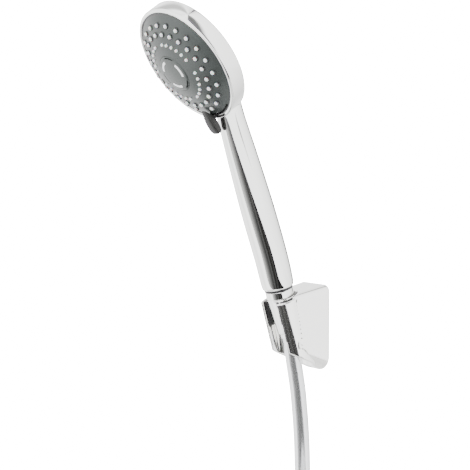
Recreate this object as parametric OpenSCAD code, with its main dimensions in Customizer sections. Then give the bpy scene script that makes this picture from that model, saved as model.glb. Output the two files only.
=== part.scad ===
// Handheld shower head docked in its wall holder, with its hose.
// Millimetres. The wall is the plane y = 0, the room is towards -Y, and +Z is up.
// The origin is the centre of the holder's wall face.

/* [Placing] */
// Lean of the holder's sleeve and the cone nut away from the wall, in degrees
lean = 15.5; // [12:0.1:20]
// Distance from the wall to the middle of the handle's lower end
seat_out = 40.8; // [39:0.1:46]
// Height of the handle's lower end above the middle of the holder
seat_up = 36.9; // [34:0.1:40]

/* [Holder] */
// Width of the holder at the wall
holder_w = 42; // [40:1:56]
// Height of the holder at the wall
holder_h = 76; // [72:1:96]
// Radius of the holder's upper corners at the wall
upper_corner_r = 7; // [5:1:14]
// Radius of the holder's lower corners at the wall
lower_corner_r = 14; // [8:1:18]
// Width of the holder where it meets the sleeve
neck_w = 36; // [30:0.5:38]
// Distance from the wall to where the holder's flat sides meet the sleeve
neck_out = 32.5; // [28:0.5:34]
// Lean of that meeting line off the vertical, in degrees
neck_lean = 7.5; // [0:0.5:12]
// Outer radius of the sleeve
sleeve_r = 17.8; // [17.4:0.1:20]
// Wall of the sleeve around the liner
sleeve_wall = 2.4; // [1.8:0.1:2.8]
// Gap between the handle's end and the sleeve's upper rim
sleeve_drop = 10.4; // [8:0.1:12]
// Length of the sleeve along its axis
sleeve_len = 55.6; // [50:0.1:58]
// Slope of the sleeve's lower rim against its axis, in degrees
rim_slope = 38.5; // [0:0.5:42]
// Half width of the sleeve's front slot at its upper rim
slot_top = 10.4; // [9.4:0.1:11]
// Half width of the slot at its lower rim
slot_bottom = 12.6; // [10:0.1:13]
// Length of the black liner
liner_len = 22; // [14:1:24]
// Half width of the liner's slot
liner_slot = 11.6; // [11:0.1:12]

/* [Wall plate] */
// Thickness of the wall plate
plate_t = 3.2; // [2.5:0.1:3.6]
// Width of the wall plate
plate_w = 28; // [24:1:32]
// Height of the wall plate
plate_h = 54; // [50:1:58]
// Distance between the two wall screws
screw_spacing = 40; // [30:1:42]
// Diameter of the holes for the wall screws
screw_hole_d = 5.2; // [4:0.1:6]

/* [Handset] */
// Diameter of the head
head_d = 106; // [96:1:124]
// Depth of the head's straight side wall
head_side = 14.3; // [13:0.1:20]
// Height of the dome of the spray face
dome_h = 14.5; // [11:0.5:16]
// Bend of the handle's grip against its lower end, in degrees
handle_bend = 4; // [0:0.1:6]
// Tilt of the spray face against the grip, in degrees
head_tilt = 15.2; // [10:0.1:18]
// Distance along the grip from the handle's lower end to the lowest point of the head's rim
rim_rise = 158.2; // [150:0.1:170]
// Distance from the grip's axis forward to the lowest point of the head's rim
rim_off = 14.5; // [13:0.1:17]
// Radius of the handle's lower end
handle_end_r = 13.1; // [13:0.1:14]
// Largest radius of the handle
handle_mid_r = 14.9; // [14:0.1:15]
// Radius of the handle below the head
handle_neck_r = 11.2; // [11:0.1:13]
// Wall of the chrome shell
shell_wall = 2.2; // [1.6:0.1:2.4]

/* [Spray face] */
// Nozzle places on each of the two outer rings
ring_count = 22; // [16:1:24]
// Radius of the outer nozzle ring
ring_a_r = 40.8; // [38:0.1:42]
// Radius of the second nozzle ring
ring_b_r = 34; // [31:0.1:35]
// Radius of the four arcs of small nozzles
ring_c_r = 26; // [24:0.1:27]
// Small nozzles in each arc
arc_count = 6; // [3:1:7]
// Radius of a large nozzle
nozzle_r = 1.95; // [1.5:0.05:2.1]
// Radius of a small nozzle
small_nozzle_r = 1.35; // [1:0.05:1.6]
// Height of a nozzle above the face
nozzle_h = 1.8; // [1:0.1:2.5]
// Radius of the insert in the middle of the face
insert_r = 16.4; // [15:0.1:18]
// Width of the mode lever
lever_w = 12; // [9:0.5:13]
// Distance from the head's middle to the lever's rounded tip
lever_reach = 63.5; // [60:0.5:68]

/* [Nut and hose] */
// Radius of the cone nut's collar
nut_r = 12.2; // [12:0.1:12.4]
// Length of the cone nut
nut_len = 39.8; // [36:0.1:41]
// Radius of the cone nut's small end
nut_tip_r = 9.2; // [9:0.1:9.8]
// Diameter of the hose
hose_d = 14; // [12:0.5:14]
// Middle diameter of the coil's turns
coil_d = 144; // [140:1:168]
// Turns in the coil
coil_turns = 3; // [2:1:4]

/* [Hidden] */
$fn = 64;

// Clearance of a part that turns or slides on another
run = 0.06;
// Clearance of a part that is dropped into another
fit = 0.15;
// Overlap of a cut past the face it opens
cut = 1;

// Radii and heights shared by the pieces of the head, from its rim plane
head_r = head_d / 2;
head_rise = rim_rise + head_r * cos(head_tilt);
head_off = rim_off + head_r * sin(head_tilt);
bezel_in = head_r - 3.3;
cavity_r = head_r - 2.8;
plate_r = bezel_in - 0.3;
trim_r = plate_r - 3.6;
trim_half = 40;
mat_r = trim_r - 0.9;
bezel_back = 1.5;
cavity_floor = head_side - 1.3;
back_depth = 4;
dome_R = (pow(plate_r, 2) + pow(dome_h, 2)) / (2 * dome_h);
plate_thick = 2.4;
mat_thick = 1.5;
chamber_top = -2.6;
chamber_t = 2.4;
disc_top = chamber_top - chamber_t - 1.6;
disc_t = 2.7;
disc_r = cavity_r - 7.2;
valve_r = cavity_r - 6;
seat_top = disc_top - disc_t - 0.3;
axle_r = 2.5;
post_ring = cavity_r - 2.9;
post_r = 2.3;
post_angles = [30, 150, 200, 340];
arc_angles = [55, 145, 235, 325];
arc_step = 12.5;
stem_out = bezel_in - 0.7;
stem_in = stem_out - 2.6;
stem_w = 8;
lever_root = 38.5;

// Places along the handset's axis, from the handle's lower end
bend_at = 25;
nut_top = -1.2;
collar_len = 8.6;
cone_top = nut_top - collar_len;
nut_bottom = nut_top - nut_len;
thread_r = 10.3;
tail_bottom = -12;
tail_top = 28;
tube_r = 5;
tube_in = 3.8;
tube_top = 150;
elbow_s = 168;
elbow_back = 3;
port_y = 23 - head_r;
sleeve_top = -sleeve_drop;
sleeve_bottom = sleeve_top - sleeve_len;
liner_top = sleeve_top - 1.2;
liner_bottom = liner_top - liner_len;
bore_r = sleeve_r - sleeve_wall;
lower_bore_r = bore_r - 1.4;
// Room for the heads of the wall screws in front of the wall plate
head_room = 4.6;
// Lip on the wall plate, and the grub screw that bears on it
lip_w = 12;
lip_t = 6.4;
lip_h = 5;
grub_r = 1.5;
grub_y = 4.2;
grub_len = 7;
// Where the hose passes under the holder, and the room around it
hose_back = 22;
hose_room = 2.2;
ferrule_r = 8;
ferrule_bottom = nut_bottom - 4;
flange_top = tail_bottom - 1.9;

// Route of the hose from its upper ferrule down to the coil
hose_r = hose_d / 2;
hose_start = [0, -seat_out - ferrule_bottom * sin(lean), seat_up + ferrule_bottom * cos(lean)];
hose_route = [[0, -27.2, -12], [0, -25.8, -18], [0, -24.6, -24], [0, -23.2, -32], [0, -21.3, -42],
              [0, -18.9, -56], [0, -17, -72], [0, -15.3, -90], [0, -14.2, -108], [0, -13.6, -126],
              [0, -13.5, -142], [0, -13.5, -158]];
coil_z = -199;
coil_r = coil_d / 2;
coil_pitch = hose_d + 0.4;
coil_y = -13.5;
coil_far_y = coil_y - coil_turns * coil_pitch;
tail_drop = 48;
supply_z = coil_z - tail_drop;

// Frame of the handset's axis, with z = 0 at the handle's lower end
module on_axis() {
    translate([0, -seat_out, seat_up]) rotate([lean, 0, 0]) children();
}

// Frame of the grip, which leaves the lower end's axis at the bend
module on_grip() {
    on_axis() translate([0, 0, bend_at]) rotate([handle_bend, 0, 0]) translate([0, 0, -bend_at]) children();
}

// Frame of the head, with z = 0 in its rim plane and +Z out of the spray face
module on_head() {
    on_grip() translate([0, -head_off, head_rise]) rotate([90 + head_tilt, 0, 0]) children();
}

// Frame at the hose's far end, with +Z down and out of the supply nut
module on_supply() {
    translate([0, coil_far_y, supply_z]) rotate([180, 0, 0]) children();
}

// Height of the face's outer surface at a distance from the head's middle
function dome_z(r) = dome_h - dome_R + sqrt(dome_R * dome_R - r * r);

// Solid under a copy of the dome lowered by a depth, out to a radius
module under_dome(depth, r, floor_z) {
    intersection() {
        translate([0, 0, dome_h - dome_R]) sphere(r = dome_R - depth, $fn = 200);
        translate([0, 0, floor_z]) cylinder(r = r, h = dome_h - floor_z + cut);
    }
}

// Ring of rectangular section between two radii and two heights
module ring(r_in, r_out, z_low, z_high) {
    translate([0, 0, z_low]) difference() {
        cylinder(r = r_out, h = z_high - z_low);
        translate([0, 0, -cut]) cylinder(r = r_in, h = z_high - z_low + 2 * cut);
    }
}

// Arc of rectangular section, centred on an angle
module arc_bar(r_in, r_out, z_low, z_high, middle, span) {
    rotate([0, 0, middle - span / 2]) translate([0, 0, z_low])
        rotate_extrude(angle = span) translate([r_in, 0]) square([r_out - r_in, z_high - z_low]);
}

// Puts its children at a nozzle's place, with z = 0 on the face and +Z along the jet
module at_nozzle(r, angle) {
    rotate([0, 0, angle]) translate([r, 0, dome_z(r)]) rotate([0, asin(r / dome_R) / 2, 0]) children();
}

// Places of the large nozzles: the outer ring leaves one place for the lever
module at_large_nozzles() {
    step = 360 / ring_count;
    for (i = [1 : ring_count - 1]) at_nozzle(ring_a_r, -90 + i * step) children();
    for (i = [0 : ring_count - 1]) at_nozzle(ring_b_r, -90 + (i + 0.5) * step) children();
}

// Places of the small nozzles in their four arcs
module at_small_nozzles() {
    for (middle = arc_angles, i = [0 : arc_count - 1])
        at_nozzle(ring_c_r, middle + (i - (arc_count - 1) / 2) * arc_step) children();
}

// Section of the holder parallel to the wall, between a lowest and a highest point
module holder_section(w, low, high) {
    hull() for (side = [-1, 1]) {
        translate([side * (w / 2 - upper_corner_r), high - upper_corner_r])
            circle(r = upper_corner_r, $fn = 32);
        translate([side * (w / 2 - lower_corner_r), low + lower_corner_r])
            circle(r = lower_corner_r, $fn = 32);
    }
}

// Block that reaches from the wall to the sleeve
module holder_block() {
    hull() {
        rotate([90, 0, 0]) linear_extrude(1.5) holder_section(holder_w, -holder_h / 2, holder_h / 2);
        translate([0, -neck_out, 0]) rotate([90 + neck_lean, 0, 0]) linear_extrude(1)
            holder_section(neck_w, 13 - holder_h / 2, holder_h / 2 - 7);
    }
}

// Outside of the sleeve, whose lower rim slopes down towards the wall
module sleeve_outside() {
    on_axis() difference() {
        translate([0, 0, sleeve_bottom - sleeve_r]) cylinder(r = sleeve_r, h = sleeve_len + sleeve_r);
        translate([0, 0, sleeve_bottom]) rotate([-rim_slope, 0, 0])
            translate([-2 * sleeve_r, -60, -60]) cube([4 * sleeve_r, 120, 60]);
    }
}

// Slot through the front of the sleeve, wider below
module sleeve_slot() {
    rotate([90, 0, 0]) linear_extrude(sleeve_r + cut) polygon([
        [-slot_top, sleeve_top + cut], [slot_top, sleeve_top + cut],
        [slot_bottom, sleeve_bottom - cut], [-slot_bottom, sleeve_bottom - cut]]);
}

module holder_body() color("gainsboro") difference() {
    union() {
        holder_block();
        sleeve_outside();
    }
    // upper bore, open above so that the nut and handle lift out
    on_axis() translate([0, 0, liner_bottom]) cylinder(r = bore_r, h = 90);
    on_axis() translate([0, 0, sleeve_bottom - 30])
        cylinder(r = lower_bore_r, h = liner_bottom - sleeve_bottom + 30 + cut);
    on_axis() sleeve_slot();
    // room for the hose below the sleeve
    translate([0, -hose_back, -70]) cylinder(r = hose_r + hose_room, h = 60);
    translate([-hose_r - hose_room, -60, -70]) cube([2 * (hose_r + hose_room), 60 - hose_back, 50]);
    // pocket for the wall plate and its lip
    translate([-plate_w / 2 - fit, -plate_t - fit, -plate_h / 2 - fit])
        cube([plate_w + 2 * fit, plate_t + fit + cut, plate_h + 2 * fit]);
    translate([-lip_w / 2 - fit, -lip_t - fit, -plate_h / 2 - fit])
        cube([lip_w + 2 * fit, lip_t + fit + cut, lip_h + 2 * fit]);
    // room for the heads of the wall screws
    for (side = [-1, 1]) translate([0, cut, side * screw_spacing / 2]) rotate([90, 0, 0])
        cylinder(r = screw_hole_d / 2 + 2.9, h = plate_t + head_room + cut);
    // hole for the grub screw
    translate([0, -grub_y, -holder_h / 2 - cut]) cylinder(r = grub_r + run, h = holder_h / 4);
}

module wall_plate() color("silver") difference() {
    union() {
        translate([-plate_w / 2, -plate_t, -plate_h / 2]) cube([plate_w, plate_t, plate_h]);
        translate([-lip_w / 2, -lip_t, -plate_h / 2]) cube([lip_w, lip_t, lip_h]);
    }
    for (side = [-1, 1]) translate([0, cut, side * screw_spacing / 2]) rotate([90, 0, 0])
        cylinder(d = screw_hole_d, h = plate_t + 2 * cut);
}

module grub_screw() color("dimgray") difference() {
    translate([0, -grub_y, -plate_h / 2 - grub_len]) cylinder(r = grub_r, h = grub_len);
    translate([0, -grub_y, -plate_h / 2 - grub_len - cut]) cylinder(r = 0.8, h = 2 + cut, $fn = 6);
}

// Radius of the cone nut's taper at a place along the axis
function cone_r(s) = nut_tip_r + (nut_r - 0.3 - nut_tip_r) * (s - nut_bottom) / (cone_top - nut_bottom);

module clip_liner() color("black") on_axis() difference() {
    translate([0, 0, liner_bottom + fit]) cylinder(r = bore_r - run, h = liner_len - fit);
    translate([0, 0, liner_bottom - cut]) cylinder(
        r1 = cone_r(liner_bottom - cut) + fit, r2 = cone_r(liner_top + cut) + fit, h = liner_len + 2 * cut);
    rotate([90, 0, 0]) linear_extrude(sleeve_r + cut)
        translate([-liner_slot, liner_bottom - cut]) square([2 * liner_slot, liner_len + 2 * cut]);
}

// Radius of the handle at distances from its lower end
handle_radii = [[0, handle_end_r - 0.8], [2, handle_end_r], [9, handle_end_r + 0.7],
                [22, handle_mid_r - 0.5], [29, handle_mid_r - 0.3], [45, handle_mid_r],
                [70, handle_mid_r - 0.1], [95, handle_mid_r - 0.7], [122, handle_neck_r + 2],
                [146, handle_neck_r + 0.9], [168, handle_neck_r]];

// Solid of the handle between two of those distances, shrunk by a wall
module handle_turning(low, high, shrink) {
    rotate_extrude() polygon(concat([[0, low]],
        [for (at = handle_radii) if (at[0] >= low && at[0] <= high) [at[1] - shrink, at[0]]], [[0, high]]));
}

// Neck that joins the handle to the head's back, shrunk by a wall
module neck(shrink) {
    hull() {
        on_grip() translate([0, 0, 148]) cylinder(r = handle_neck_r + 0.8 - shrink, h = 1, $fn = 32);
        on_grip() translate([0, 0, 172]) cylinder(r = handle_neck_r + 0.4 - shrink, h = 1, $fn = 32);
        on_grip() translate([0, 0, 190 - shrink]) cylinder(r = handle_neck_r - 4 - shrink, h = 1, $fn = 32);
        on_head() translate([0, 31 - head_r, -head_side - back_depth + 1 + shrink])
            cylinder(r = 19 - shrink, h = 9, $fn = 32);
    }
}

module handle_shell() color("silver") difference() {
    union() {
        on_axis() handle_turning(0, 29, 0);
        on_grip() handle_turning(22, 168, 0);
        neck(0);
        on_head() rotate_extrude() polygon([
            [0, -head_side - back_depth], [head_r - 14, -head_side - back_depth],
            [head_r - 3, -head_side - 0.8], [head_r - 0.8, -head_side], [head_r, 1 - head_side],
            [head_r, 0], [0, 0]]);
    }
    on_head() translate([0, 0, -bezel_back - 0.02]) cylinder(r = head_r + cut, h = dome_h);
    on_axis() translate([0, 0, -cut]) cylinder(r = thread_r + fit, h = 6);
    on_axis() translate([0, 0, 4]) cylinder(r = handle_end_r - shell_wall, h = 24);
    on_grip() handle_turning(22, 168, shell_wall);
    neck(shell_wall);
    on_head() difference() {
        translate([0, 0, -cavity_floor]) cylinder(r = cavity_r, h = cavity_floor);
        for (angle = post_angles) rotate([0, 0, angle]) translate([post_ring, 0, -cavity_floor - cut])
            cylinder(r = post_r, h = cavity_floor + chamber_top - chamber_t + cut);
    }
    on_head() for (angle = post_angles) rotate([0, 0, angle])
        translate([post_ring, 0, -cavity_floor + 1]) cylinder(r = 1.2 + run, h = cavity_floor);
}

module face_bezel() color("silver") on_head() rotate_extrude() polygon([
    [bezel_in, -bezel_back], [head_r, -bezel_back], [head_r, -0.4], [head_r - 0.6, 0.4],
    [head_r - 1.4, 0.9], [bezel_in + 0.8, 0.9], [bezel_in, 0.3]]);

module face_plate() color("dimgray") on_head() difference() {
    under_dome(0, plate_r, -bezel_back);
    under_dome(plate_thick, plate_r + cut, -bezel_back - cut);
    translate([0, 0, -bezel_back - cut]) cylinder(r = insert_r + fit, h = 2 * dome_h);
    arc_bar(trim_r, plate_r + cut, -bezel_back - cut, dome_h, -90, 2 * trim_half);
    at_large_nozzles() translate([0, 0, -8]) cylinder(r = nozzle_r + fit, h = 12);
    at_small_nozzles() translate([0, 0, -8]) cylinder(r = small_nozzle_r + fit, h = 12);
}

// Sheet of a nozzle mat between two radii, behind the face plate
module mat_sheet(r_in, r_out) {
    difference() {
        under_dome(plate_thick + fit, r_out, chamber_top + fit);
        under_dome(plate_thick + mat_thick, r_out + cut, chamber_top - cut);
        translate([0, 0, chamber_top - cut]) cylinder(r = r_in, h = 2 * dome_h);
    }
}

module outer_nozzle_mat() color("whitesmoke") on_head() {
    mat_sheet(ring_c_r + 4, mat_r);
    at_large_nozzles() translate([0, 0, -plate_thick - 0.8])
        cylinder(r1 = nozzle_r, r2 = nozzle_r - 0.45, h = plate_thick + 0.8 + nozzle_h);
}

module inner_nozzle_mat() color("whitesmoke") on_head() {
    mat_sheet(insert_r + 2.4, ring_c_r + 3.6);
    at_small_nozzles() translate([0, 0, -plate_thick - 0.8])
        cylinder(r1 = small_nozzle_r, r2 = small_nozzle_r - 0.3, h = plate_thick + 0.8 + nozzle_h * 0.8);
}

// Light bars and dark slots of the centre insert
bar_in = 10.6;
bar_out = 13;
bar_angles = [15, 135, 255];
bar_span = 58;
slot_in = 14.4;
slot_out = 15.5;
slot_span = 38;

module centre_insert() color("darkslategray") on_head() difference() {
    union() {
        under_dome(-0.5, insert_r, dome_z(insert_r) - plate_thick - 0.4);
        translate([0, 0, dome_z(insert_r) - plate_thick - 2.2]) cylinder(r = insert_r + 1.6, h = 1.4);
        translate([0, 0, dome_z(insert_r) - plate_thick - 1.5]) cylinder(r = insert_r, h = 2);
    }
    translate([0, 0, dome_z(insert_r) - plate_thick - 3]) cylinder(r = insert_r - 7, h = 3);
    for (middle = bar_angles) {
        arc_bar(bar_in, bar_out, 0, dome_h + cut, middle, bar_span);
        arc_bar(slot_in, slot_out, 0, dome_h + cut, middle + 60, slot_span);
    }
}

module light_bars() color("white") on_head() for (middle = bar_angles) intersection() {
    under_dome(-0.7, insert_r, 0);
    arc_bar(bar_in + 0.05, bar_out - 0.05, dome_z(insert_r) - 3, dome_h + cut, middle, bar_span - 1);
}

module jet_chamber() color("lightgray") on_head() difference() {
    union() {
        translate([0, 0, chamber_top - chamber_t]) cylinder(r = mat_r - 1, h = chamber_t);
        for (angle = post_angles) hull() for (r = [mat_r - 8, post_ring]) rotate([0, 0, angle])
            translate([r, 0, chamber_top - chamber_t]) cylinder(r = 2.8 - fit, h = chamber_t, $fn = 32);
    }
    translate([0, 0, chamber_top - chamber_t - cut]) cylinder(r = axle_r + fit, h = chamber_t + 2 * cut);
    for (angle = post_angles) rotate([0, 0, angle]) translate([post_ring, 0, chamber_top - chamber_t - cut])
        cylinder(r = 1.2 + fit, h = chamber_t + 2 * cut);
    for (i = [0 : 11]) rotate([0, 0, i * 30]) translate([31, 0, chamber_top - chamber_t - cut])
        cylinder(r = 2, h = chamber_t + 2 * cut);
}

module chamber_screws() color("silver") on_head() for (angle = post_angles) rotate([0, 0, angle])
    translate([post_ring, 0, 0]) {
        translate([0, 0, chamber_top - chamber_t - 5]) cylinder(r = 1.2, h = chamber_t + 5);
        translate([0, 0, chamber_top]) cylinder(r = 2.1, h = 1);
    }

module chamber_seal() color("black") on_head()
    ring(35.5, 38, disc_top + fit, chamber_top - chamber_t);

module click_spring() color("silver") on_head() {
    arc_bar(valve_r - 0.8, valve_r, seat_top + 0.2, disc_top, 90, 24);
    arc_bar(valve_r - 1.8, valve_r, seat_top, seat_top + 0.25, 90, 24);
}

module valve_seat() color("lightgray") on_head() difference() {
    translate([0, 0, -cavity_floor + fit]) cylinder(r = valve_r, h = cavity_floor - fit + seat_top);
    translate([0, 0, -cavity_floor]) cylinder(r = axle_r, h = cavity_floor);
    translate([0, port_y, -cavity_floor - cut]) cylinder(r = tube_in, h = cavity_floor);
}

module centre_axle() color("silver") on_head()
    translate([0, 0, -cavity_floor + fit]) cylinder(r = axle_r, h = cavity_floor + 6.5);

module selector_disc() color("ivory") on_head() difference() {
    union() {
        translate([0, 0, disc_top - disc_t]) cylinder(r = disc_r, h = disc_t);
        translate([-stem_w / 2, -stem_out, disc_top - disc_t]) cube([stem_w, stem_out - disc_r + 6, disc_t]);
    }
    translate([0, 0, disc_top - disc_t - cut]) cylinder(r = axle_r + run, h = disc_t + 2 * cut);
    for (angle = [30, 150, 270]) rotate([0, 0, angle]) translate([31, 0, disc_top - disc_t - cut])
        cylinder(r = 3.4, h = disc_t + 2 * cut);
}

// Blade of the lever, seen along the head's axis
module lever_outline() {
    hull() {
        translate([0, -lever_reach + lever_w / 2]) circle(r = lever_w / 2, $fn = 32);
        translate([0, -lever_root - 3]) circle(r = 3, $fn = 32);
    }
}

module mode_lever() color("dimgray") on_head() union() {
    translate([-stem_w / 2, -stem_out, disc_top]) cube([stem_w, stem_out - stem_in, 4 - disc_top]);
    difference() {
        translate([0, 0, 1.6]) linear_extrude(dome_z(lever_root) + 2) lever_outline();
        translate([0, 0, dome_h - dome_R]) sphere(r = dome_R + nozzle_h + 0.35, $fn = 200);
        translate([0, 0, -2]) cylinder(r = head_r + 0.8, h = 4);
        rotate([20, 0, 0]) translate([-20, -90, 3]) cube([40, 32, 30]);
    }
}

module massage_turbine() color("ivory") on_head() difference() {
    union() {
        translate([0, 0, -1.6]) cylinder(r = 5, h = 6);
        translate([0, 0, -1.6]) cylinder(r = 14, h = 1.2);
        for (i = [0 : 5]) rotate([0, 0, i * 60]) translate([4, -0.7, -0.5]) cube([9.6, 1.4, 5]);
    }
    translate([0, 0, -3]) cylinder(r = axle_r + run, h = 12);
}

// Passage from the top of the waterway tube to the port in the valve seat
module elbow_run(r, over) {
    hull() {
        on_grip() translate([0, 0, tube_top - over]) cylinder(r = r, h = 1, $fn = 32);
        on_grip() translate([0, elbow_back, elbow_s]) cylinder(r = r, h = 0.5, $fn = 32);
    }
    hull() {
        on_grip() translate([0, elbow_back, elbow_s]) cylinder(r = r, h = 0.5, $fn = 32);
        on_head() translate([0, port_y, -cavity_floor - 1.5]) cylinder(r = r, h = 0.7 + over, $fn = 32);
    }
}

module neck_elbow() color("lightgray") difference() {
    elbow_run(tube_r, 0);
    elbow_run(tube_in, 0.5);
}

module elbow_seal() color("black") on_head() translate([0, port_y, 0])
    ring(tube_in + 0.3, tube_r, -cavity_floor - 0.75, -cavity_floor + 0.1);

module waterway_tube() color("whitesmoke") on_grip() ring(tube_in, tube_r, tail_top + 0.4, tube_top);

module tail_connector() color("lightgray") on_axis() difference() {
    union() {
        translate([0, 0, tail_bottom]) cylinder(r = thread_r, h = tail_top - tail_bottom);
        translate([0, 0, 6]) cylinder(r = handle_end_r - shell_wall - fit, h = 6);
    }
    translate([0, 0, tail_bottom - cut]) cylinder(r = tube_in, h = tail_top - tail_bottom + 2 * cut);
    translate([0, 0, tail_bottom - cut]) cylinder(r = 8.2, h = 8 + cut);
}

module inlet_filter() color("silver") on_axis() ring(2, 8.2 - run, tail_bottom + 0.2, tail_bottom + 2);

module flow_regulator() color("royalblue") on_axis() ring(3, 8.2 - run, tail_bottom + 2.2, tail_bottom + 7.6);

module tail_washer() color("black") on_axis() ring(5.4, 9.6, tail_bottom - 1.8, tail_bottom - 0.05);

module cone_nut() color("silver") on_axis() difference() {
    rotate_extrude() polygon([
        [0, nut_top], [nut_r - 0.5, nut_top], [nut_r, nut_top - 0.6], [nut_r, cone_top + 1.2],
        [nut_r - 0.5, cone_top + 0.7], [cone_r(cone_top), cone_top],
        [cone_r(nut_bottom) , nut_bottom + 0.5], [nut_tip_r - 0.5, nut_bottom], [0, nut_bottom]]);
    translate([0, 0, flange_top - 2.4]) cylinder(r = thread_r + 0.1, h = nut_top + cut - flange_top + 2.4);
    translate([0, 0, nut_bottom - cut]) cylinder(r = ferrule_r + run, h = nut_len);
}

module upper_ferrule() color("silver") on_axis() difference() {
    union() {
        translate([0, 0, ferrule_bottom]) cylinder(r = ferrule_r, h = flange_top - ferrule_bottom);
        translate([0, 0, flange_top - 2.2]) cylinder(r = 9.6, h = 2.2);
    }
    translate([0, 0, ferrule_bottom + 6]) cylinder(r = 5, h = 60);
}

// Section of the hose, swept along its route with a ring square to the path at each point
function unit(v) = v / norm(v);
function tangent(p, i) = unit(p[min(i + 1, len(p) - 1)] - p[max(i - 1, 0)]);

module sweep(points, start_dir, r, sides) {
    n = len(points);
    rings = [for (i = [0 : n - 1])
        let (t = i == 0 ? start_dir : i == n - 1 ? [0, 0, -1] : tangent(points, i), side = unit(cross([1, 0, 0], t)))
        for (k = [0 : sides - 1])
            points[i] + r * (cos(360 * k / sides) * [1, 0, 0] + sin(360 * k / sides) * side)];
    walls = [for (i = [0 : n - 2], k = [0 : sides - 1])
        let (a = i * sides + k, b = i * sides + (k + 1) % sides)
        [a, b, b + sides, a + sides]];
    polyhedron(points = rings, faces = concat(walls,
        [[for (k = [sides - 1 : -1 : 0]) k]], [[for (k = [0 : sides - 1]) (n - 1) * sides + k]]));
}

module hose_tube() color("silver")
    sweep(concat([hose_start], hose_route), [0, sin(lean), -cos(lean)], hose_r, 12);

// Outer shape of the coil's turns, which lie side by side
module hose_coil() color("silver") translate([coil_r, coil_y + hose_r + 0.2, coil_z]) rotate([90, 0, 0])
    ring(coil_r - hose_r, coil_r + hose_r, 0, coil_turns * coil_pitch + hose_d + 0.4);

// Strap that holds the turns together at the top of the coil
tie_w = 10;
tie_t = 1.4;
module coil_tie() color("dimgray") {
    deep = coil_turns * coil_pitch + hose_d + 1;
    high = hose_d + 0.8;
    translate([coil_r - tie_w / 2, coil_y + hose_r + 0.5 - deep, coil_z + coil_r - high / 2]) difference() {
        translate([0, -tie_t, -tie_t]) cube([tie_w, deep + 2 * tie_t, high + 2 * tie_t]);
        translate([-cut, 0, 0]) cube([tie_w + 2 * cut, deep, high]);
    }
}

module lower_ferrule() color("silver") on_supply() difference() {
    union() {
        cylinder(r = ferrule_r, h = 25);
        translate([0, 0, 25]) cylinder(r = 9.4, h = 2);
    }
    translate([0, 0, 6]) cylinder(r = 5, h = 22);
}

module supply_nut() color("silver") on_supply() difference() {
    union() {
        translate([0, 0, 18]) cylinder(r = 13.4, h = 19, $fn = 6);
        translate([0, 0, 16.5]) cylinder(r = 11.2, h = 20);
    }
    translate([0, 0, 16]) cylinder(r = ferrule_r + run, h = 12);
    translate([0, 0, 24.8]) cylinder(r = 9.8, h = 4.3);
    translate([0, 0, 29]) cylinder(r = 9.5, h = 9);
}

module supply_washer() color("black") on_supply() ring(5.4, 9.4, 27, 29);

holder_body();
clip_liner();
wall_plate();
grub_screw();
handle_shell();
face_bezel();
face_plate();
outer_nozzle_mat();
inner_nozzle_mat();
centre_insert();
light_bars();
jet_chamber();
chamber_screws();
chamber_seal();
click_spring();
valve_seat();
centre_axle();
elbow_seal();
neck_elbow();
waterway_tube();
tail_connector();
inlet_filter();
flow_regulator();
tail_washer();
cone_nut();
selector_disc();
mode_lever();
massage_turbine();
upper_ferrule();
hose_tube();
hose_coil();
coil_tie();
lower_ferrule();
supply_nut();
supply_washer();
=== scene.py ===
import math

import bpy
from mathutils import Matrix, Vector


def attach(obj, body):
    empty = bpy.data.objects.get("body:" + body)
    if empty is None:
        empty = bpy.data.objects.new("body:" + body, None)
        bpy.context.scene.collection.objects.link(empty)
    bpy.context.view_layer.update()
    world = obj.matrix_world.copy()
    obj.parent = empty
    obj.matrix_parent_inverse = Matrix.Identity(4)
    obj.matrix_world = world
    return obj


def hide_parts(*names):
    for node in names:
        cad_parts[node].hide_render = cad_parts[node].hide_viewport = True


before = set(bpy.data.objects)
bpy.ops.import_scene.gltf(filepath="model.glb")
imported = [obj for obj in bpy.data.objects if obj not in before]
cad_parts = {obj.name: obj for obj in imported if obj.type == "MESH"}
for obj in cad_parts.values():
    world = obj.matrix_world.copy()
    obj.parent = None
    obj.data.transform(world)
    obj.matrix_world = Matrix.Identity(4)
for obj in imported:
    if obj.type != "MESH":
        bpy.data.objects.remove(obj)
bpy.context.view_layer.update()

# ---- Camera ----
# A long lens stands a little above the handset's middle and looks at it from its
# front right, so that the head, the handle, the holder and the first of the hose are in view.

aim = Vector((0, -0.0865, 0.0838))
bearing, elevation, distance = math.radians(54.9), math.radians(4.0), 1.198
towards_lens = Vector((math.sin(bearing) * math.cos(elevation),
                       -math.cos(bearing) * math.cos(elevation), math.sin(elevation)))
bpy.ops.object.select_all(action="DESELECT")
bpy.ops.object.camera_add(location=aim + distance * towards_lens)
camera = bpy.context.object
camera.rotation_euler = towards_lens.to_track_quat("Z", "Y").to_euler()
camera.data.lens = 108.6
camera.data.sensor_width = 36
bpy.context.scene.camera = camera

# ---- Hose ----
# A smooth shower hose of clear PVC over a silver foil, 14 mm across and 1.6 m long. It leaves
# the cone nut in line with it, hangs straight down past the holder, and the rest is stored
# in three turns held by a strap, from which its far end hangs with the supply nut.

MM = 0.001
hose_radius = 7.0
hose_exit = (0, -28.774, -6.463)
hose_points = [(0, -27.2, -12), (0, -25.8, -18), (0, -24.6, -24), (0, -23.2, -32), (0, -21.3, -42),
               (0, -18.9, -56), (0, -17, -72), (0, -15.3, -90), (0, -14.2, -108), (0, -13.6, -126),
               (0, -13.5, -142), (0, -13.5, -158)]
coil_radius, coil_height, coil_front, coil_step, turns = 72.0, -199.0, -13.5, 14.4, 3
tail_end = -247.0

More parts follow.
